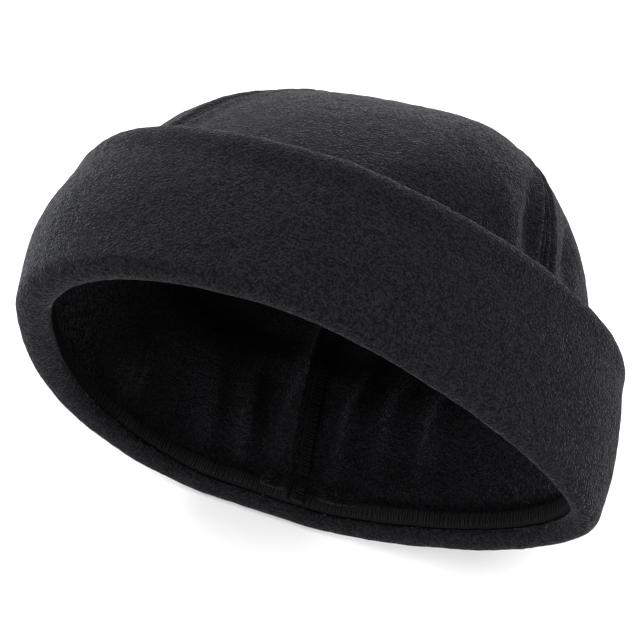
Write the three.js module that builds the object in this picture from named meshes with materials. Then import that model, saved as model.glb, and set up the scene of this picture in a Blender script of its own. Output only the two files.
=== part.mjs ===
// Fleece beanie with a deep turned-up cuff, lying on its back.
// The opening looks toward -Y, the crown points toward +Y, and the front of the cuff is
// on top. Millimetres, +Z up, floor at z = 0, origin under the middle of the hat.
// Angles go round the hat's middle line: 0 is its right side as seen from the opening,
// 90 the front (top), 180 the left side and 270 the centre back (on the floor).

import * as THREE from "three";

// Outside of the cuff, measured from the middle line of the hat.
const CUFF_REACH = { right: 109.5, front: 84, left: 100.8, back: 88.4 };
const MIDDLE_HEIGHT = 85;
const CUFF_TAPER = { right: 6.7, front: 1.2, left: 0.4, back: 0 };
const CUFF_BULGE = { right: 2.4, front: 1, left: 5.7, back: 0 };
const CUFF_LEAN = { front: -5, back: -10 };

// Where the cuff starts and ends along the hat.
const RIM = { right: 0, front: 3.6, left: 0, back: 0 };
const CUFF_TOP = { right: 63.3, front: 60, left: 62, back: 62 };

// How full each quarter of the section is: 2 is an ellipse, less is more pointed.
const ROUNDNESS = {
  front: { right: 1.6, left: 2.34 },
  back: { right: 1.62, left: 2.13 },
};

// Cloth.
const FLEECE = 2.2;
const CUFF_THICKNESS = 4.8;
const ROLL_THICKNESS = { right: 10, front: 8, left: 13.2, back: 9.4 };
const ROLL_HEIGHT = { right: 6, front: 6, left: 7, back: 4.9 };
const LEDGE_ROUNDING = 1;
const HEM_WIDTH = 5.8;
const HEM_THICKNESS = 2.8;
const HEM_ROUNDING = 0.8;
const ALLOWANCE_THICKNESS = 2;
const CLEARANCE = 0.3;

// Crown.
const CROWN_HEIGHT = 132.4;
const CROWN_FULLNESS = 2.9;
const SAG_LENGTH = 14;

// Sections of the crown. "at" is the share of its height. The reaches are shares of the
// room inside the cuff. The front leans across by "lean", and the whole section lies
// "across" to the right and "down" toward the floor, in millimetres.
const CROWN_SECTIONS = [
  { at: 0.0, right: 0.99, front: 1.0, left: 1.0, back: 1.0, lean: -5, across: 0, down: 0 },
  { at: 0.2, right: 0.93, front: 0.985, left: 1.0, back: 1.0, lean: -3, across: 0.3, down: 0.4 },
  { at: 0.42, right: 0.89, front: 0.972, left: 1.02, back: 1.0, lean: 5, across: 1.4, down: 1.6 },
  { at: 0.6, right: 0.866, front: 0.957, left: 1.07, back: 1.16, lean: 16, across: 2.9, down: 3.2 },
  { at: 0.8, right: 0.845, front: 0.92, left: 1.15, back: 1.23, lean: 25, across: 5.6, down: 5.5 },
  { at: 1.0, right: 0.82, front: 0.865, left: 1.22, back: 1.15, lean: 33, across: 8.6, down: 8.4 },
];

// Folds of the crown. "at" is the share of the height at a fold's middle and "angle" its
// angle there, which turns by "turn" for a whole share. It is "width" degrees wide and
// "run" of the height long to each side, and pushed in by "deep" millimetres.
const CROWN_FOLDS = [
  { at: 0.59, angle: 43.5, turn: 40, width: 4, run: 0.13, deep: 4 },
  { at: 0.55, angle: 54, turn: 80, width: 6, run: 0.1, deep: -1.4 },
  { at: 0.6, angle: 24, turn: 0, width: 4, run: 0.1, deep: 2.2 },
  { at: 0.36, angle: 266.2, turn: -12, width: 3.6, run: 0.3, deep: 3.6 },
  { at: 0.24, angle: 255, turn: -20, width: 3.4, run: 0.17, deep: 3.4 },
  { at: 0.3, angle: 283.4, turn: -6, width: 4, run: 0.24, deep: 3.2 },
  { at: 0.22, angle: 242, turn: -20, width: 5, run: 0.2, deep: 2.4 },
  { at: 0.25, angle: 295, turn: -6, width: 5, run: 0.2, deep: 1.8 },
  { at: 0.2, angle: 313, turn: -4, width: 6, run: 0.2, deep: 1.8 },
  { at: 0.2, angle: 216, turn: -20, width: 3, run: 0.14, deep: 2.2 },
];

// The three seams of the crown: their angle at its lower edge, and how far they have
// turned by the time that they reach the apex.
const SEAMS = {
  right: { angle: 20, turn: 26 },
  left: { angle: 148, turn: 0 },
  back: { angle: 277.2, turn: -18.5 },
};
const SEAM_DIP = 1;
const SEAM_DIP_WIDTH = 2.2;

// Columns beside a seam and of an allowance, in millimetres from the seam.
const EDGE_COLUMNS = [CLEARANCE / 2, 2, 4.5];
const ALLOWANCE_COLUMNS = [-1.2, 0.15, 2, 4.5];

// Fineness of the surfaces.
const PANEL_COLUMNS = 22;
const CROWN_ROWS = 17;
const CROWN_TIP = 89.4;
const ALLOWANCE_TIP = 85;
const LEG_ROWS = 6;
const ROLL_STEPS = 6;
const FOLD_STEPS = 4;
const SETTLING = 1.5;
const SMALLEST_RADIUS = 4;

const FLEECE_BLACK = new THREE.MeshStandardMaterial({
  color: "#2a2b2d",
  roughness: 1,
  metalness: 0,
});
const THREAD_BLACK = new THREE.MeshStandardMaterial({
  color: "#1c1d1f",
  roughness: 0.9,
  metalness: 0,
});

const SIDES = ["right", "front", "left", "back"];
const { degToRad, radToDeg, lerp, smoothstep } = THREE.MathUtils;

function cosine(angle) {
  return Math.cos(degToRad(angle));
}

function sine(angle) {
  return Math.sin(degToRad(angle));
}

function quarter(angle) {
  return {
    side: cosine(angle) > 0 ? "right" : "left",
    face: sine(angle) > 0 ? "front" : "back",
  };
}

// A size that is given for the four sides, blended round the hat.
function roundTheHat(sizes, angle) {
  const { side, face } = quarter(angle);
  return cosine(angle) ** 2 * sizes[side] + sine(angle) ** 2 * sizes[face];
}

function forEachSide(sizeOf) {
  return Object.fromEntries(SIDES.map((side) => [side, sizeOf(side)]));
}

// Distance from the middle to a rounded outline that crosses its axes at 1.
function roundedRadius(across, along, fullness) {
  return (Math.abs(across) ** fullness + Math.abs(along) ** fullness) ** (-1 / fullness);
}

// A point of a section of the hat, seen from the middle line.
function sectionPoint(angle, reach, lean) {
  const { side, face } = quarter(angle);
  const across = cosine(angle) / reach[side];
  const along = sine(angle) / reach[face];
  const radius = roundedRadius(across, along, ROUNDNESS[face][side]);
  return {
    x: radius * cosine(angle) + lean[face] * (radius * along) ** 2,
    z: radius * sine(angle),
  };
}

// Cloth that would lie lower than its lift rests flat on what is below it.
function settled(z, lift) {
  const height = z - lift;
  if (height > SETTLING) {
    return z;
  }
  if (height < -SETTLING) {
    return lift;
  }
  return lift + (height + SETTLING) ** 2 / (4 * SETTLING);
}

// A point of the cuff: "height" above the rim, "depth" in from its outside.
function cuffPoint(angle, height, depth) {
  const rim = roundTheHat(RIM, angle);
  const share = height / cuffHeight(angle);
  const swell = sine(180 * share) ** 1.5;
  const reach = forEachSide(
    (side) => CUFF_REACH[side] - CUFF_TAPER[side] * share + CUFF_BULGE[side] * swell - depth,
  );
  const { x, z } = sectionPoint(angle, reach, CUFF_LEAN);
  return new THREE.Vector3(x, rim + height, settled(z + MIDDLE_HEIGHT, depth));
}

function cuffHeight(angle) {
  return roundTheHat(CUFF_TOP, angle) - roundTheHat(RIM, angle);
}

// The row of the crown's table for a share of its height, read as a smooth curve.
const SECTION_SIZES = Object.keys(CROWN_SECTIONS[0]).slice(1);
const crownCurves = new THREE.CubicInterpolant(
  CROWN_SECTIONS.map((row) => row.at),
  CROWN_SECTIONS.flatMap((row) => SECTION_SIZES.map((name) => row[name])),
  SECTION_SIZES.length,
);

function crownSection(share) {
  const values = crownCurves.evaluate(share);
  return Object.fromEntries(SECTION_SIZES.map((name, i) => [name, values[i]]));
}

function bell(distance) {
  return Math.exp(-(distance ** 2));
}

function turnBetween(angle, other) {
  return ((angle - other + 540) % 360) - 180;
}

// How far the crown's cloth is pushed in by its folds and along its seams.
function crownFold(angle, share, radius) {
  let depth = 0;
  for (const fold of CROWN_FOLDS) {
    const along = share - fold.at;
    const across = turnBetween(angle, fold.angle + fold.turn * along) / fold.width;
    depth += fold.deep * bell(across) * bell(along / fold.run);
  }
  for (const seam of Object.values(SEAMS)) {
    const across = degToRad(turnBetween(angle, seam.angle + seam.turn * share)) * radius;
    depth += SEAM_DIP * bell(across / SEAM_DIP_WIDTH);
  }
  return depth;
}

// A point of the crown: "climb" goes from 0 at its lower edge to 90 degrees at its apex,
// and "depth" in from its outside.
function crownPoint(angle, climb, depth) {
  const { share, spread } = crownShares(climb);
  const form = crownSection(share);
  const radius = spread * CUFF_REACH.left;
  const inward = depth + crownFold(angle, share, radius);
  const room = CUFF_THICKNESS + CLEARANCE;
  const reach = forEachSide(
    (side) => ((CUFF_REACH[side] - room) * form[side] - inward) * spread,
  );
  const lean = { front: form.lean * spread, back: CUFF_LEAN.back * spread };
  const { x, z } = sectionPoint(angle, reach, lean);
  const base = crownBase(angle);
  const y = lerp(base, CROWN_HEIGHT - inward, share);
  const sagging = smoothstep(y, CUFF_TOP.back, CUFF_TOP.back + SAG_LENGTH);
  const lift = inward + room * (1 - sagging);
  return new THREE.Vector3(
    x + form.across,
    y,
    settled(z - form.down + MIDDLE_HEIGHT, lift),
  );
}

// The crown's lower edge stands on the rolled edge of the cuff.
function crownBase(angle) {
  return roundTheHat(RIM, angle) + roundTheHat(ROLL_HEIGHT, angle) + CLEARANCE;
}

// The climb at which the crown is "height" above its lower edge.
function climbAt(height) {
  const share = height / (CROWN_HEIGHT - ROLL_HEIGHT.right - CLEARANCE);
  const spread = (1 - share ** CROWN_FULLNESS) ** (1 / CROWN_FULLNESS);
  return radToDeg(Math.atan2(share, spread));
}

// The share of the crown's height, and of its reach, at a climb.
function crownShares(climb) {
  const corner = roundedRadius(cosine(climb), sine(climb), CROWN_FULLNESS);
  return { share: corner * sine(climb), spread: corner * cosine(climb) };
}

// Angle of a line that keeps "offset" millimetres from a seam.
function besideSeam(seam, climb, offset) {
  const { share, spread } = crownShares(climb);
  const radius = Math.max(spread * CUFF_REACH.left, SMALLEST_RADIUS);
  return seam.angle + seam.turn * share + radToDeg(offset / radius);
}

// Columns of a panel at one climb: a few close to each seam, the rest evenly between.
function panelAngle(fromSeam, toSeam, column, climb) {
  const from = besideSeam(fromSeam, climb, 0);
  const to = besideSeam(toSeam, climb, 0);
  const even = ((to - from) * column) / PANEL_COLUMNS;
  const mirrored = PANEL_COLUMNS - column;
  if (column < EDGE_COLUMNS.length) {
    const near = besideSeam(fromSeam, climb, EDGE_COLUMNS[column]);
    return column === 0 ? near : Math.min(near, from + even);
  }
  if (mirrored < EDGE_COLUMNS.length) {
    const near = besideSeam(toSeam, climb, -EDGE_COLUMNS[mirrored]);
    return mirrored === 0 ? near : Math.max(near, from + even);
  }
  return from + even;
}

function steps(count, from, to) {
  return Array.from({ length: count + 1 }, (_, i) => lerp(from, to, i / count));
}

// A closed solid through equal loops of points. Round the hat the last loop joins the
// first one. Otherwise a strip across the first and the last loop closes the ends.
function loftedSolid(name, loops, material, isRound) {
  const size = loops[0].length;
  const index = [];
  const addQuad = (a, b, c, d) => index.push(a, b, c, a, c, d);
  const joined = isRound ? loops.length : loops.length - 1;
  for (let i = 0; i < joined; i += 1) {
    const here = i * size;
    const there = ((i + 1) % loops.length) * size;
    for (let k = 0; k < size; k += 1) {
      const next = (k + 1) % size;
      addQuad(here + k, here + next, there + next, there + k);
    }
  }
  const last = (loops.length - 1) * size;
  for (let k = 0; !isRound && k < size / 2 - 1; k += 1) {
    const across = size - 1 - k;
    addQuad(k, across, across - 1, k + 1);
    addQuad(last + k, last + k + 1, last + across - 1, last + across);
  }
  const geometry = new THREE.BufferGeometry().setFromPoints(loops.flat());
  geometry.setIndex(index);
  geometry.computeVertexNormals();
  const mesh = new THREE.Mesh(geometry, material);
  mesh.name = name;
  return mesh;
}

// A layer of cloth on the crown: columns by angle, rows by climb, between two depths.
function crownLayer(name, columns, climbs, outside, inside, material) {
  const loops = columns.map((angleAt) => {
    const outer = climbs.map((climb) => crownPoint(angleAt(climb), climb, outside));
    const inner = climbs.map((climb) => crownPoint(angleAt(climb), climb, inside));
    return [...outer, ...inner.reverse()];
  });
  return loftedSolid(name, loops, material, false);
}

const hemTop = climbAt(HEM_WIDTH + CLEARANCE);
const allClimbs = [0, ...steps(CROWN_ROWS, hemTop, CROWN_TIP)];
const allowanceClimbs = allClimbs.filter((climb) => climb >= hemTop && climb < ALLOWANCE_TIP);

const PANELS = [
  { name: "crown_front", from: SEAMS.right, to: SEAMS.left },
  { name: "crown_back_left", from: SEAMS.left, to: SEAMS.back },
  {
    name: "crown_back_right",
    from: SEAMS.back,
    to: { ...SEAMS.right, angle: SEAMS.right.angle + 360 },
  },
];

// A column is a function that gives its angle at a climb.
function panelColumns({ from, to }) {
  return Array.from(
    { length: PANEL_COLUMNS + 1 },
    (_, column) => (climb) => panelAngle(from, to, column, climb),
  );
}

// Columns for the pieces that go all the way round: the seams and the panels' columns.
function hoopColumns() {
  return PANELS.flatMap((panel) => [
    (climb) => besideSeam(panel.from, climb, 0),
    ...panelColumns(panel).slice(1, -1),
  ]);
}

function crownPanel(panel) {
  return crownLayer(panel.name, panelColumns(panel), allClimbs, 0, FLEECE, FLEECE_BLACK);
}

function seamAllowance(side) {
  const name = `seam_allowance_${side}`;
  const columns = ALLOWANCE_COLUMNS.map(
    (offset) => (climb) => besideSeam(SEAMS[side], climb, offset),
  );
  const outside = FLEECE + CLEARANCE;
  const inside = outside + ALLOWANCE_THICKNESS;
  return crownLayer(name, columns, allowanceClimbs, outside, inside, THREAD_BLACK);
}

// The cuff's section as pairs of height and depth: up its outside, over the upper fold,
// down its inside to the ledge that carries the crown, and round the rolled edge.
function cuffProfile(angle) {
  const height = cuffHeight(angle);
  const fold = CUFF_THICKNESS / 2;
  const roll = roundTheHat(ROLL_THICKNESS, angle) / 2;
  const ledgeHeight = roundTheHat(ROLL_HEIGHT, angle);
  const outside = steps(LEG_ROWS, roll, height - fold).map((level) => [level, 0]);
  const upperFold = steps(FOLD_STEPS, 180, 0)
    .slice(1, -1)
    .map((turn) => [height - fold + fold * sine(turn), fold + fold * cosine(turn)]);
  const inside = steps(LEG_ROWS, height - fold, ledgeHeight).map((level) => [
    level,
    CUFF_THICKNESS,
  ]);
  const ledge = [ledgeHeight, roll * 2 - LEDGE_ROUNDING];
  const rolledEdge = steps(ROLL_STEPS, 0, -180)
    .slice(0, -1)
    .map((turn) => [roll + roll * sine(turn), roll + roll * cosine(turn)]);
  return [...outside, ...upperFold, ...inside, ledge, ...rolledEdge];
}

function cuff() {
  const loops = hoopColumns().map((angleAt) => {
    const angle = angleAt(0);
    return cuffProfile(angle).map(([height, depth]) => cuffPoint(angle, height, depth));
  });
  return loftedSolid("cuff", loops, FLEECE_BLACK, true);
}

// The overlocked band inside, where the cuff is joined to the crown.
function hemAllowance() {
  const outside = FLEECE + CLEARANCE;
  const inside = outside + HEM_THICKNESS;
  const profile = [
    [0, outside],
    [HEM_WIDTH, outside],
    [HEM_WIDTH, inside - HEM_ROUNDING],
    [HEM_WIDTH - HEM_ROUNDING, inside],
    [HEM_ROUNDING, inside],
    [0, inside - HEM_ROUNDING],
  ];
  const loops = hoopColumns().map((angleAt) =>
    profile.map(([height, depth]) => {
      const climb = climbAt(height);
      return crownPoint(angleAt(climb), climb, depth);
    }),
  );
  return loftedSolid("hem_allowance", loops, THREAD_BLACK, true);
}

const beanie = new THREE.Group();
beanie.name = "fleece_beanie";
beanie.add(
  cuff(),
  ...PANELS.map(crownPanel),
  hemAllowance(),
  ...Object.keys(SEAMS).map(seamAllowance),
);

// The origin lies under the middle of the hat.
const box = new THREE.Box3().setFromObject(beanie);
const middle = box.getCenter(new THREE.Vector3());
for (const mesh of beanie.children) {
  mesh.geometry.translate(-middle.x, -middle.y, -box.min.z);
}

export default beanie;
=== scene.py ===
"""Looks of the fleece beanie, lying on its back with the opening toward -Y.

Metres, +Z up, floor at z = 0. The laws of its shape work in millimetres, measured along
the hat from the rim, and are turned into metres when a mesh is made. Angles go round the
hat's middle line in degrees: 0 right, 90 front (top), 180 left, 270 back (on the floor).
"""

import math

import bpy
import numpy as np
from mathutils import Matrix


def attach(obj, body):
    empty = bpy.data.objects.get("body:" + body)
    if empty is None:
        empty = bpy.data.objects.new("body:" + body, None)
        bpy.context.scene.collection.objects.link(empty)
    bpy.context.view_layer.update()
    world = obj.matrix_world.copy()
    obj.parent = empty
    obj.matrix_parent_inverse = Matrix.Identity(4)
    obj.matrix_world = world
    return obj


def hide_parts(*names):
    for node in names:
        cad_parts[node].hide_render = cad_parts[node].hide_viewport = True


MM = 0.001

# The point on the floor under the middle of the hat, seen from its middle line and rim.
MIDDLE = np.array([1.40, 66.17, 0.0])

# Cuff, measured from the middle line of the hat.
CUFF_REACH = {"right": 109.5, "front": 84, "left": 100.8, "back": 88.4}
MIDDLE_HEIGHT = 85
CUFF_TAPER = {"right": 6.7, "front": 1.2, "left": 0.4, "back": 0}
CUFF_BULGE = {"right": 2.4, "front": 1, "left": 5.7, "back": 0}
CUFF_LEAN = {"front": -5, "back": -10}
RIM = {"right": 0, "front": 3.6, "left": 0, "back": 0}
CUFF_TOP = {"right": 63.3, "front": 60, "left": 62, "back": 62}
ROUNDNESS = {
    "front": {"right": 1.6, "left": 2.34},
    "back": {"right": 1.62, "left": 2.13},
}

# Cloth.
FLEECE = 2.2
CUFF_THICKNESS = 4.8
FOLD_LENGTH = 5
FOLD_SWELL = 0.7
FOLD_SWELL_LENGTH = 8
ROLL_THICKNESS = {"right": 10, "front": 8, "left": 13.2, "back": 9.4}
ROLL_HEIGHT = {"right": 6, "front": 6, "left": 7, "back": 4.9}
LEDGE_ROUNDING = 1
HEM_WIDTH = 5.8
HEM_THICKNESS = 2.8
HEM_ROUNDING = 0.8
HEM_STEP = 4
ALLOWANCE_THICKNESS = 2
ALLOWANCE_EDGES = (-1.2, 4.5)
ALLOWANCE_END = 89.6
FACE_INSET = 1.5
CLEARANCE = 0.3

# Soft unevenness of the cloth: size and height of its lumps.
LUMPS = ((16, 0.6), (4, 0.4))

# Crown. The table's columns are the share of its height, four reaches as shares of the
# room inside the cuff, the front's lean, and how far the section lies across and down.
CROWN_HEIGHT = 132.4
CROWN_FULLNESS = 2.9
SAG_LENGTH = 14
SECTION_COLUMNS = ("at", "right", "front", "left", "back", "lean", "across", "down")
CROWN_SECTIONS = (
    (0.00, 0.990, 1.000, 1.00, 1.00, -5, 0.0, 0.0),
    (0.20, 0.930, 0.985, 1.00, 1.00, -3, 0.3, 0.4),
    (0.42, 0.890, 0.972, 1.02, 1.00, 5, 1.4, 1.6),
    (0.60, 0.866, 0.957, 1.07, 1.16, 16, 2.9, 3.2),
    (0.80, 0.845, 0.920, 1.15, 1.23, 25, 5.6, 5.5),
    (1.00, 0.820, 0.865, 1.22, 1.15, 33, 8.6, 8.4),
)

# Folds of the crown: share of the height at their middle, angle there, turn per unit of
# share, half width in degrees, half length as a share of the height, depth inward in mm.
CROWN_FOLDS = (
    # beside the seams, seen from outside
    (0.59, 43.0, 40, 5.2, 0.14, 5.2),
    (0.55, 55.0, 80, 6.0, 0.10, -1.4),
    (0.60, 23.0, 0, 4.0, 0.12, 3.2),
    # gathers inside, along the back seam
    (0.36, 266.4, -12, 3.8, 0.27, 6.5),
    (0.22, 255.6, -20, 3.8, 0.15, 6.0),
    (0.20, 244.2, -20, 4.6, 0.16, 4.6),
    (0.20, 217.0, -20, 5.0, 0.13, 4.0),
    (0.33, 284.0, -6, 3.4, 0.22, 5.5),
    (0.36, 296.0, -6, 4.2, 0.20, 3.6),
    (0.36, 310.0, -6, 4.6, 0.18, 3.6),
    # the wall's swell above the hem
    (0.09, 304.0, 0, 17.0, 0.07, 3.0),
)

# Where the wall hangs over the hem band: angle, half width, toward the rim, inward.
LIPS = (
    (270.0, 5.0, 4.4, 4.6),
    (288.0, 7.0, 4.0, 4.6),
)
LIP_HEIGHT = 7.6
LIP_RUN = 2.4

# The crown's seams: angle at the lower edge, turn by the apex. Along each the cloth dips.
# Beside a topstitched one lie a dip at each row of stitches and a puff outside it, and
# beside the back one lies a ridge.
SEAMS = {"right": (20, 26), "left": (148, 0), "back": (277.2, -18.5)}
TOPSTITCHED = ("right", "left")
SEAM_DIP = 1.3
SEAM_DIP_WIDTH = 0.9
ROW_OFFSET = 2.5
ROW_DIP = 1.1
ROW_DIP_WIDTH = 0.8
PUFF_OFFSET = 5.2
PUFF = 0.7
PUFF_WIDTH = 2.2
BACK_RIDGE_OFFSET = -4.4
BACK_RIDGE = 2.0
BACK_RIDGE_WIDTH = 2.2
SETTLING = 1.5

# Near the apex a seam's width is measured as if it were this far from the apex.
SMALLEST_RADIUS = 4

# Threads. The overlock's lean and unevenness are shares of its pitch. A stitch dips into
# the cloth and rises over it by shares of its thread.
OVERLOCK_PITCH = 1.2
OVERLOCK_THREAD = 0.54
OVERLOCK_LEAN = 0.2
OVERLOCK_UNEVENNESS = 0.22
OVERLOCK_END = 87
UNDER_HEM = 1.5
HEM_GROOVE = 0.4
TOPSTITCH_PITCH = 2.6
TOPSTITCH_THREAD = 0.5
TOPSTITCH_START = 3
TOPSTITCH_END = 87
TOPSTITCH_DIP = 1.6
TOPSTITCH_RISE = 0.35

# The hem's length as a share of a circle round the left reach, and a seam's length as a
# share of the crown's height.
HEM_LENGTH = 0.88
SEAM_LENGTH = 1.45

# A stitch over a strip of cloth: share of the way across, drop from the strip's face.
OVERLOCK_STITCH = (
    (0.00, 0.9),
    (0.04, 0.2),
    (0.12, -0.1),
    (0.50, -0.2),
    (0.88, -0.1),
    (0.96, 0.2),
    (1.00, 0.9),
)

PANELS = {
    "crown_front": (SEAMS["right"], SEAMS["left"]),
    "crown_back_left": (SEAMS["left"], SEAMS["back"]),
    "crown_back_right": (SEAMS["back"], (SEAMS["right"][0] + 360, SEAMS["right"][1])),
}

# Steps of the meshes. A panel's are fine near its edges and over the hem.
PANEL_LOW_CLIMB = 9
PANEL_LOW_ROWS = 30
PANEL_ROWS = 130
PANEL_END = 89.95
PANEL_FINE_STEP = 0.45
PANEL_COARSE_STEP = 1.5
PANEL_FINE_LENGTH = 6
CUFF_COLUMNS = 440
CUFF_ROWS = 36
FOLD_STEPS = 16
ROLL_STEPS = 18
HEM_COLUMNS = 720
ALLOWANCE_ROWS = 190
STRIP_STEPS = 6
STITCH_STEPS = 8
THREAD_SIDES = 6

# Nap of the fleece: clumps, curled fibres and its height. The fibres are drawn coarser
# than real ones, which wouldn't show.
CLUMP_SIZE = 1.7
FIBRE_SIZE = 0.72
NAP_HEIGHT = 0.7

# Camera: the photo's angle to the hat.
CAMERA_AZIMUTH = 19.28
CAMERA_ELEVATION = 61.0
CAMERA_DISTANCE = 572.94
CAMERA_TARGET = (-6.2, -17.6, 79.0)
CAMERA_LENS = 89.5

# Soft studio light: azimuth, elevation and watts of each softbox.
SOFTBOXES = (
    ("right_softbox", 108, 12, 33),
    ("back_softbox", 210, 12, 45),
    ("left_softbox", 240, 12, 24),
    ("front_softbox", 345, 60, 6),
    ("low_softbox", 352, 12, 34),
    ("top_softbox", 75, 80, 17),
)
SOFTBOX_SIZE = 0.9
SOFTBOX_DISTANCE = 1.5
WORLD_STRENGTH = 0.02
FLOOR_SIZE = 8


def cosine(angle):
    return np.cos(np.radians(angle))


def sine(angle):
    return np.sin(np.radians(angle))


def by_side(sizes, angle):
    return np.where(cosine(angle) > 0, sizes["right"], sizes["left"])


def by_face(sizes, angle):
    return np.where(sine(angle) > 0, sizes["front"], sizes["back"])


def round_the_hat(sizes, angle):
    """A size given for the four sides, blended round the hat."""
    across = cosine(angle) ** 2 * by_side(sizes, angle)
    return across + sine(angle) ** 2 * by_face(sizes, angle)


def rounded_radius(across, along, fullness):
    """Distance from the middle to a rounded outline that crosses its axes at 1."""
    return (np.abs(across) ** fullness + np.abs(along) ** fullness) ** (-1 / fullness)


def section_point(angle, reach, lean):
    """A point of a section of the hat, seen from the middle line."""
    across = cosine(angle) / by_side(reach, angle)
    along = sine(angle) / by_face(reach, angle)
    fullness = np.where(
        sine(angle) > 0,
        by_side(ROUNDNESS["front"], angle),
        by_side(ROUNDNESS["back"], angle),
    )
    radius = rounded_radius(across, along, fullness)
    leaning = by_face(lean, angle) * (radius * along) ** 2
    return radius * cosine(angle) + leaning, radius * sine(angle)


def settled(z, lift):
    """Cloth that would lie lower than its lift rests flat on what is below it."""
    height = z - lift
    resting = lift + np.clip(height + SETTLING, 0, None) ** 2 / (4 * SETTLING)
    return np.where(height > SETTLING, z, resting)


def smoothstep(value, low, high):
    share = np.clip((value - low) / (high - low), 0, 1)
    return share * share * (3 - 2 * share)


def bell(distance):
    return np.exp(-(distance**2))


def cuff_height(angle):
    return round_the_hat(CUFF_TOP, angle) - round_the_hat(RIM, angle)


def cuff_point(angle, height, depth):
    """A point of the cuff: height above the rim, depth in from its outside."""
    share = np.clip(height / cuff_height(angle), 0, 1)
    swell = sine(180 * share) ** 1.5
    reach = {
        side: CUFF_REACH[side] - CUFF_TAPER[side] * share + CUFF_BULGE[side] * swell - depth
        for side in CUFF_REACH
    }
    x, z = section_point(angle, reach, CUFF_LEAN)
    y = round_the_hat(RIM, angle) + height
    return np.stack([x, y, settled(z + MIDDLE_HEIGHT, depth)], axis=-1)


def smooth_curve(at, values, where):
    """A curve through a table's column. Its slope at a row is the mean of both sides'."""
    slopes = np.diff(values) / np.diff(at)
    slopes = np.concatenate([slopes[:1], (slopes[1:] + slopes[:-1]) / 2, slopes[-1:]])
    row = np.clip(np.searchsorted(at, where, side="right") - 1, 0, len(at) - 2)
    gap = at[row + 1] - at[row]
    p = (where - at[row]) / gap
    start = values[row] * (1 + 2 * p) + slopes[row] * gap * p
    end = values[row + 1] * (3 - 2 * p) - slopes[row + 1] * gap * (1 - p)
    return start * (1 - p) ** 2 + end * p**2


def crown_section(share):
    table = np.array(CROWN_SECTIONS).T
    return {
        name: smooth_curve(table[0], column, share)
        for name, column in zip(SECTION_COLUMNS[1:], table[1:])
    }


def turn_between(angle, other):
    return (angle - other + 540) % 360 - 180


def crown_fold(angle, share, radius):
    """How far the crown's cloth is pushed in by its folds and along its seams."""
    depth = np.zeros(np.broadcast(angle, share).shape)
    for at, middle, turn, width, run, deep in CROWN_FOLDS:
        across = turn_between(angle, middle + turn * (share - at)) / width
        depth += deep * bell(across) * bell((share - at) / run)
    for side, (start, turn) in SEAMS.items():
        across = np.radians(turn_between(angle, start + turn * share)) * radius
        depth += SEAM_DIP * bell(across / SEAM_DIP_WIDTH)
        if side in TOPSTITCHED:
            away = np.abs(across)
            depth += ROW_DIP * bell((away - ROW_OFFSET) / ROW_DIP_WIDTH)
            depth -= PUFF * bell((away - PUFF_OFFSET) / PUFF_WIDTH)
        else:
            depth += BACK_RIDGE * bell((across - BACK_RIDGE_OFFSET) / BACK_RIDGE_WIDTH)
    return depth


def crown_shares(climb):
    """The share of the crown's height, and of its reach, at a climb of 0 to 90 degrees."""
    corner = rounded_radius(cosine(climb), sine(climb), CROWN_FULLNESS)
    return corner * sine(climb), corner * cosine(climb)


def crown_point(angle, climb, depth):
    """A point of the crown: climb from lower edge to apex, depth in from outside."""
    share, spread = crown_shares(climb)
    form = crown_section(share)
    inward = depth + crown_fold(angle, share, spread * CUFF_REACH["left"])
    room = CUFF_THICKNESS + CLEARANCE
    reach = {
        side: ((CUFF_REACH[side] - room) * form[side] - inward) * spread
        for side in CUFF_REACH
    }
    lean = {"front": form["lean"] * spread, "back": CUFF_LEAN["back"] * spread}
    x, z = section_point(angle, reach, lean)
    base = round_the_hat(RIM, angle) + round_the_hat(ROLL_HEIGHT, angle) + CLEARANCE
    y = base + (CROWN_HEIGHT - inward - base) * share
    sagging = smoothstep(y, CUFF_TOP["back"], CUFF_TOP["back"] + SAG_LENGTH)
    lift = inward + room * (1 - sagging)
    z = settled(z - form["down"] + MIDDLE_HEIGHT, lift)
    return np.stack([x + form["across"], y, z], axis=-1)


def climb_at(height):
    """The climb at which the crown is a height above its lower edge."""
    share = height / (CROWN_HEIGHT - ROLL_HEIGHT["right"] - CLEARANCE)
    spread = (1 - share**CROWN_FULLNESS) ** (1 / CROWN_FULLNESS)
    return np.degrees(np.arctan2(share, spread))


def beside_seam(seam, climb, offset):
    """Angle of a line that keeps an offset in millimetres from a seam."""
    share, spread = crown_shares(climb)
    radius = np.maximum(spread * CUFF_REACH["left"], SMALLEST_RADIUS)
    return seam[0] + seam[1] * share + np.degrees(offset / radius)


def lofted_mesh(name, loops, is_round):
    """A closed mesh through equal loops of points, indexed by loop, point and axis."""
    count, size = loops.shape[:2]
    number = np.arange(count * size).reshape(count, size)
    rows = np.vstack([number, number[:1]]) if is_round else number
    rows = np.hstack([rows, rows[:, :1]])
    faces = np.stack([rows[:-1, :-1], rows[:-1, 1:], rows[1:, 1:], rows[1:, :-1]], axis=-1)
    faces = faces.reshape(-1, 4)
    if not is_round:
        near = number[:, : size // 2]
        far = number[:, ::-1][:, : size // 2]
        strip = np.stack([near[:, :-1], far[:, :-1], far[:, 1:], near[:, 1:]], axis=-1)
        faces = np.vstack([faces, strip[0], strip[-1, :, ::-1]])
    mesh = bpy.data.meshes.new(name)
    points = (loops.reshape(-1, 3) - MIDDLE) * MM
    a, b, c, d = points[faces.T]
    volume = np.sum(a * (np.cross(b, c) + np.cross(c, d)))
    if volume < 0:  # the faces look inward
        faces = faces[:, ::-1]
    mesh.from_pydata(points.tolist(), [], faces.tolist())
    piece = bpy.data.objects.new(name, mesh)
    bpy.context.collection.objects.link(piece)
    mesh.shade_smooth()
    return piece


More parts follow.
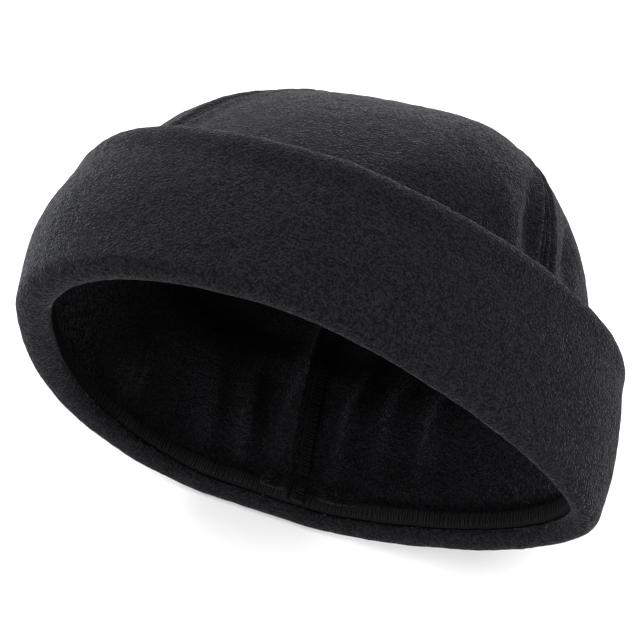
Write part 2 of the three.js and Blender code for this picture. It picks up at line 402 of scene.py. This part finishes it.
def graded(length, fine, coarse, fine_length):
    """Shares from 0 to 1 along a length, in fine steps near both ends."""
    near = np.arange(0, fine_length, fine)
    steps = round((length / 2 - fine_length) / coarse)
    far = np.linspace(fine_length, length / 2, max(2, steps))
    half = np.concatenate([near, far]) / length
    return np.concatenate([half, 1 - half[-2::-1]])


def hang_over(points, angle, climb):
    """Lets the wall hang over the hem band beside the back seam."""
    height = crown_shares(climb)[0] * CROWN_HEIGHT
    for middle, width, forward, inward in LIPS:
        beside = turn_between(angle, middle) / width
        share = bell(beside**2) * bell((height - LIP_HEIGHT) / LIP_RUN)
        points = points + share[..., None] * np.array([0, -forward, inward])
    return points


def crown_panel(name, seams):
    """A panel of the crown, between its two seams."""
    start, end = seams
    low_climbs = np.linspace(0, PANEL_LOW_CLIMB, PANEL_LOW_ROWS)
    climbs = np.linspace(PANEL_LOW_CLIMB, PANEL_END, PANEL_ROWS)
    climbs = np.concatenate([low_climbs, climbs[1:]])
    width = np.radians(end[0] - start[0]) * CUFF_REACH["left"]
    shares = graded(width, PANEL_FINE_STEP, PANEL_COARSE_STEP, PANEL_FINE_LENGTH)
    climb, share = np.meshgrid(climbs, shares, indexing="ij")
    first = beside_seam(start, climb, CLEARANCE / 4)
    last = beside_seam(end, climb, -CLEARANCE / 4)
    angle = first + (last - first) * share
    outer = crown_point(angle, climb, 0)
    inner = hang_over(crown_point(angle, climb, FLEECE), angle, climb)
    return lofted_mesh(name, np.concatenate([outer, inner[:, ::-1]], axis=1), False)


def cuff_profile(angle):
    """Heights and depths round the cuff's section: up its outside, over the upper fold,
    down its inside to the ledge that carries the crown, and round the rolled edge."""
    fold = cuff_height(angle) - FOLD_LENGTH
    across = (CUFF_THICKNESS + FOLD_SWELL) / 2
    roll = round_the_hat(ROLL_THICKNESS, angle) / 2
    ledge = round_the_hat(ROLL_HEIGHT, angle)
    outside = np.linspace(roll, fold, CUFF_ROWS)
    swell = FOLD_SWELL * smoothstep(outside - fold, -FOLD_SWELL_LENGTH, 0)
    turns = np.linspace(180, 0, FOLD_STEPS)[1:-1, None]
    inside = np.linspace(fold, ledge, CUFF_ROWS)
    rolls = np.linspace(0, -180, ROLL_STEPS)[:-1, None]
    stretches = (
        (outside, -swell),
        (
            fold + FOLD_LENGTH * sine(turns),
            CUFF_THICKNESS - across + across * cosine(turns),
        ),
        (inside, CUFF_THICKNESS),
        (ledge[None], 2 * roll[None] - LEDGE_ROUNDING),
        (roll + roll * sine(rolls), roll + roll * cosine(rolls)),
    )
    heights, depths = zip(*(np.broadcast_arrays(*stretch) for stretch in stretches))
    return np.vstack(heights).T, np.vstack(depths).T


def cuff(name):
    """The turned-up cloth, as one ring."""
    angle = np.linspace(0, 360, CUFF_COLUMNS, endpoint=False)
    heights, depths = cuff_profile(angle)
    return lofted_mesh(name, cuff_point(angle[:, None], heights, depths), True)


def rounded_strip(low, high, outside, inside):
    """Places across a strip and depths, round its section with two rounded corners."""
    turns = np.linspace(0, 90, STRIP_STEPS)
    start = HEM_ROUNDING * (1 - cosine(turns))
    end = HEM_ROUNDING * (1 - sine(turns))
    face = np.linspace(high - FACE_INSET, low + FACE_INSET, STRIP_STEPS)
    across = np.concatenate([[low, high], high - start, face, low + end])
    inner = np.full(STRIP_STEPS, inside)
    depths = np.concatenate([[outside, outside], inside - end, inner, inside - start])
    return across, depths


def hem_band(name):
    """The overlocked edges of crown and cuff, as one ring inside the crown."""
    angle = np.linspace(0, 360, HEM_COLUMNS, endpoint=False)
    outside = FLEECE + CLEARANCE
    heights, depths = rounded_strip(0, HEM_WIDTH, outside, outside + HEM_THICKNESS)
    return lofted_mesh(name, crown_point(angle[:, None], climb_at(heights), depths), True)


def over_hem(climb):
    """How much further in an allowance lies where it crosses the hem band."""
    height = crown_shares(climb)[0] * CROWN_HEIGHT
    return HEM_THICKNESS * (1 - smoothstep(height, HEM_WIDTH, HEM_WIDTH + HEM_STEP))


def seam_allowance(name, seam):
    """A seam's cut edges, folded to one side inside the crown."""
    climbs = np.linspace(climb_at(CLEARANCE), ALLOWANCE_END, ALLOWANCE_ROWS)[:, None]
    outside = FLEECE + CLEARANCE + over_hem(climbs)
    offsets, depths = rounded_strip(*ALLOWANCE_EDGES, 0, ALLOWANCE_THICKNESS)
    angle = beside_seam(seam, climbs, offsets)
    return lofted_mesh(name, crown_point(angle, climbs, outside + depths), False)


def thread_mesh(name, path, beneath, radius, is_round):
    """A round thread along a path. The points beneath it tell which way is up."""
    along = np.gradient(path, axis=0)
    lift = path - beneath
    side = np.cross(along, lift)
    side /= np.linalg.norm(side, axis=1, keepdims=True)
    lift = np.cross(side, along)
    lift /= np.linalg.norm(lift, axis=1, keepdims=True)
    turns = np.arange(0, 360, 360 // THREAD_SIDES)
    ring = side[:, None] * cosine(turns)[:, None] + lift[:, None] * sine(turns)[:, None]
    return lofted_mesh(name, path[:, None] + ring * radius, is_round)


def overlock(steps):
    """Shares along and across a strip, and the drop, of stitches that go to and fro."""
    across, drop = np.array(OVERLOCK_STITCH).T
    lean = OVERLOCK_LEAN * across
    on = np.concatenate([lean, 1 + lean])
    random = np.random.default_rng(steps)
    uneven = random.uniform(-OVERLOCK_UNEVENNESS, OVERLOCK_UNEVENNESS, (steps, 2))
    along = 2 * np.arange(steps)[:, None] + on + uneven.repeat(len(across), axis=1)
    across = np.concatenate([across, across[::-1]])
    drop = np.concatenate([drop, drop[::-1]])
    return along.ravel() / (2 * steps), np.tile(across, steps), np.tile(drop, steps)


def hem_thread(name):
    """The overlock round the hem band."""
    length = math.tau * CUFF_REACH["left"] * HEM_LENGTH
    steps = round(length / (2 * OVERLOCK_PITCH))
    along, across, drop = overlock(steps)
    climb = climb_at(HEM_GROOVE + (HEM_WIDTH - HEM_GROOVE) * across)
    depth = FLEECE + CLEARANCE + HEM_THICKNESS - drop - UNDER_HEM * (across == 0)
    path = crown_point(360 * along, climb, depth)
    beneath = crown_point(360 * along, climb, depth - 1)
    return thread_mesh(name, path, beneath, OVERLOCK_THREAD / 2, True)


def allowance_thread(name, seam):
    """The overlock along a seam allowance."""
    steps = round(CROWN_HEIGHT * SEAM_LENGTH / (2 * OVERLOCK_PITCH))
    along, across, drop = overlock(steps)
    first = climb_at(CLEARANCE)
    climb = first + (OVERLOCK_END - first) * along
    angle = beside_seam(seam, climb, ALLOWANCE_EDGES[1] * across)
    depth = FLEECE + CLEARANCE + ALLOWANCE_THICKNESS + over_hem(climb) - drop
    path = crown_point(angle, climb, depth)
    beneath = crown_point(angle, climb, depth - 1)
    return thread_mesh(name, path, beneath, OVERLOCK_THREAD / 2, False)


def topstitch(name, seam, offset):
    """A row of stitches that dip into the cloth at every pitch."""
    stitches = round(CROWN_HEIGHT * SEAM_LENGTH / TOPSTITCH_PITCH)
    along = np.linspace(0, 1, stitches * STITCH_STEPS + 1)
    climb = TOPSTITCH_START + (TOPSTITCH_END - TOPSTITCH_START) * along
    angle = beside_seam(seam, climb, offset)
    dip = np.abs(cosine(180 * stitches * along)) ** 3
    depth = TOPSTITCH_THREAD * (TOPSTITCH_DIP * dip - TOPSTITCH_RISE)
    path = crown_point(angle, climb, depth)
    beneath = crown_point(angle, climb, depth + 1)
    return thread_mesh(name, path, beneath, TOPSTITCH_THREAD / 2, False)


def add_lumps(piece, size, height):
    texture = bpy.data.textures.new(f"{piece.name}_lumps_{size}", "CLOUDS")
    texture.noise_scale = size * MM
    texture.noise_depth = 1
    lumps = piece.modifiers.new(texture.name, "DISPLACE")
    lumps.texture = texture
    lumps.strength = height * MM
    lumps.mid_level = 0.5


def linear(hex_colour):
    """A linear colour with alpha from sRGB hex."""
    channels = [int(hex_colour[i : i + 2], 16) / 255 for i in (1, 3, 5)]
    light = [c / 12.92 if c <= 0.04045 else ((c + 0.055) / 1.055) ** 2.4 for c in channels]
    return (*light, 1)


def add_node(tree, kind, settings=None, inputs=None):
    """A new node with its settings; an input is a value or the output that feeds it."""
    node = tree.nodes.new(kind)
    for name, value in (settings or {}).items():
        setattr(node, name, value)
    for name, value in (inputs or {}).items():
        if isinstance(value, bpy.types.NodeSocket):
            tree.links.new(value, node.inputs[name])
        else:
            node.inputs[name].default_value = value
    return node


def new_material(name):
    material = bpy.data.materials.new(name)
    material.use_nodes = True
    material.node_tree.nodes.clear()
    return material, material.node_tree


def anti_pill_fleece(name, low_colour, high_colour, low_sheen, high_sheen):
    """Anti-pill polyester fleece: a matt nap curled into small clumps, with painted shade
    in the hollows between them, and a pale sheen of fibre ends where it is seen along the
    surface."""
    material, tree = new_material(name)
    where = add_node(tree, "ShaderNodeTexCoord").outputs["Object"]
    clump = add_node(
        tree,
        "ShaderNodeTexNoise",
        None,
        {
            "Vector": where,
            "Scale": 1 / (CLUMP_SIZE * MM),
            "Detail": 1.0,
            "Distortion": 0.6,
        },
    )
    fibre = add_node(
        tree,
        "ShaderNodeTexNoise",
        None,
        {
            "Vector": where,
            "Scale": 1 / (FIBRE_SIZE * MM),
            "Detail": 0.6,
            "Distortion": 0.3,
        },
    )
    height = add_node(
        tree,
        "ShaderNodeMath",
        {"operation": "MULTIPLY_ADD"},
        {0: clump.outputs["Fac"], 1: 0.5, 2: fibre.outputs["Fac"]},
    )
    bump = add_node(
        tree,
        "ShaderNodeBump",
        None,
        {"Strength": 1.0, "Distance": NAP_HEIGHT * MM, "Height": height.outputs[0]},
    )
    # Painted shade: colour and sheen darken in the hollows of the nap's bump, where shade
    # falls between the clumps.
    painted_nap_shade = add_node(
        tree,
        "ShaderNodeMapRange",
        None,
        {"Value": height.outputs[0], "From Min": 0.6, "From Max": 0.96},
    )
    sheen = add_node(
        tree,
        "ShaderNodeMapRange",
        None,
        {"Value": painted_nap_shade.outputs[0], "To Min": low_sheen, "To Max": high_sheen},
    )
    colour = add_node(
        tree,
        "ShaderNodeMix",
        {"data_type": "RGBA"},
        {0: painted_nap_shade.outputs[0], 6: linear(low_colour), 7: linear(high_colour)},
    )
    shader = add_node(
        tree,
        "ShaderNodeBsdfPrincipled",
        None,
        {
            "Base Color": colour.outputs[2],
            "Roughness": 0.95,
            "Specular IOR Level": 0.1,
            "Sheen Weight": sheen.outputs[0],
            "Sheen Roughness": 0.22,
            "Sheen Tint": linear("#d9dbe5"),
            "Normal": bump.outputs[0],
        },
    )
    add_node(tree, "ShaderNodeOutputMaterial", None, {"Surface": shader.outputs[0]})
    return material


def plain_matt(name, colour, roughness):
    """A matt surface of one colour."""
    material, tree = new_material(name)
    shader = add_node(
        tree,
        "ShaderNodeBsdfPrincipled",
        None,
        {"Base Color": linear(colour), "Roughness": roughness, "Specular IOR Level": 0.1},
    )
    add_node(tree, "ShaderNodeOutputMaterial", None, {"Surface": shader.outputs[0]})
    return material


def dress(piece, node, material):
    """Puts a piece in the place of a CAD node, with its finish."""
    piece.data.materials.append(material)
    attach(piece, "root")
    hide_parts(node)


def build_hat():
    # Charcoal cloth, nearly black seen straight on and grey where it turns away.
    fleece = anti_pill_fleece("anti_pill_fleece", "#020202", "#17171b", 0.01, 0.232)
    # The same cloth pressed flat under stitches, darker still as painted shade of the hat's
    # inside: black, with almost no sheen.
    edge = anti_pill_fleece("overlocked_cloth_painted_shade", "#020202", "#070708", 0.0, 0.02)
    # Textured sewing thread, a dull dark grey that tells the stitches from the cloth.
    thread = plain_matt("polyester_thread", "#141416", 0.9)
    cloth = {"cuff": cuff("cuff_cloth")}
    for node, seams in PANELS.items():
        cloth[node] = crown_panel(f"{node}_cloth", seams)
    for node, piece in cloth.items():
        for size, height in LUMPS:
            add_lumps(piece, size, height)
        dress(piece, node, fleece)
    dress(hem_band("hem_band"), "hem_allowance", edge)
    dress(hem_thread("hem_overlock"), "hem_allowance", thread)
    for side, seam in SEAMS.items():
        node = f"seam_allowance_{side}"
        dress(seam_allowance(f"{node}_cloth", seam), node, edge)
        dress(allowance_thread(f"{node}_overlock", seam), node, thread)
    for side in TOPSTITCHED:
        for row, offset in (("lower", -ROW_OFFSET), ("upper", ROW_OFFSET)):
            piece = topstitch(f"topstitch_{side}_{row}", SEAMS[side], offset)
            dress(piece, "crown_front", thread)


def look_from(item, azimuth, elevation, distance, target=(0, 0, 0)):
    """Places a camera or a light round a target; azimuth 0 looks along +Y."""
    back = (
        sine(azimuth) * cosine(elevation),
        -cosine(azimuth) * cosine(elevation),
        sine(elevation),
    )
    item.location = np.array(target) + np.array(back) * distance
    item.rotation_euler = (math.radians(90 - elevation), 0, math.radians(azimuth))
    bpy.context.collection.objects.link(item)


def softbox(name, azimuth, elevation, energy):
    light = bpy.data.lights.new(name, "AREA")
    light.energy = energy
    light.size = SOFTBOX_SIZE
    look_from(bpy.data.objects.new(name, light), azimuth, elevation, SOFTBOX_DISTANCE)


def set_stage():
    bpy.ops.mesh.primitive_plane_add(size=FLOOR_SIZE)
    floor = bpy.context.object
    floor.name = "floor"
    # Seamless backdrop paper, which the light burns out to the photo's plain white.
    floor.data.materials.append(plain_matt("white_paper", "#f0f0f0", 0.9))
    world = bpy.data.worlds.new("studio")
    bpy.context.scene.world = world
    world.use_nodes = True
    background = world.node_tree.nodes["Background"]
    background.inputs["Color"].default_value = (1, 1, 1, 1)
    background.inputs["Strength"].default_value = WORLD_STRENGTH
    for name, azimuth, elevation, energy in SOFTBOXES:
        softbox(name, azimuth, elevation, energy)
    bpy.context.scene.view_settings.view_transform = "Standard"


def add_camera():
    camera = bpy.data.objects.new("camera", bpy.data.cameras.new("camera"))
    camera.data.lens = CAMERA_LENS
    target = np.array(CAMERA_TARGET) * MM
    look_from(camera, CAMERA_AZIMUTH, CAMERA_ELEVATION, CAMERA_DISTANCE * MM, target)
    bpy.context.scene.camera = camera


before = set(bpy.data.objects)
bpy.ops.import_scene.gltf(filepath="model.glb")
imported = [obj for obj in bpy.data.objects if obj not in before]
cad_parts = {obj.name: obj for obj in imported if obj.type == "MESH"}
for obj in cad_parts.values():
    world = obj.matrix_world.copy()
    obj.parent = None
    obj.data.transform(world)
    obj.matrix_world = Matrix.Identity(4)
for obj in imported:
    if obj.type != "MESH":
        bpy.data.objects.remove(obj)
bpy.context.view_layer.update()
bpy.ops.object.select_all(action="DESELECT")
build_hat()
set_stage()
add_camera()
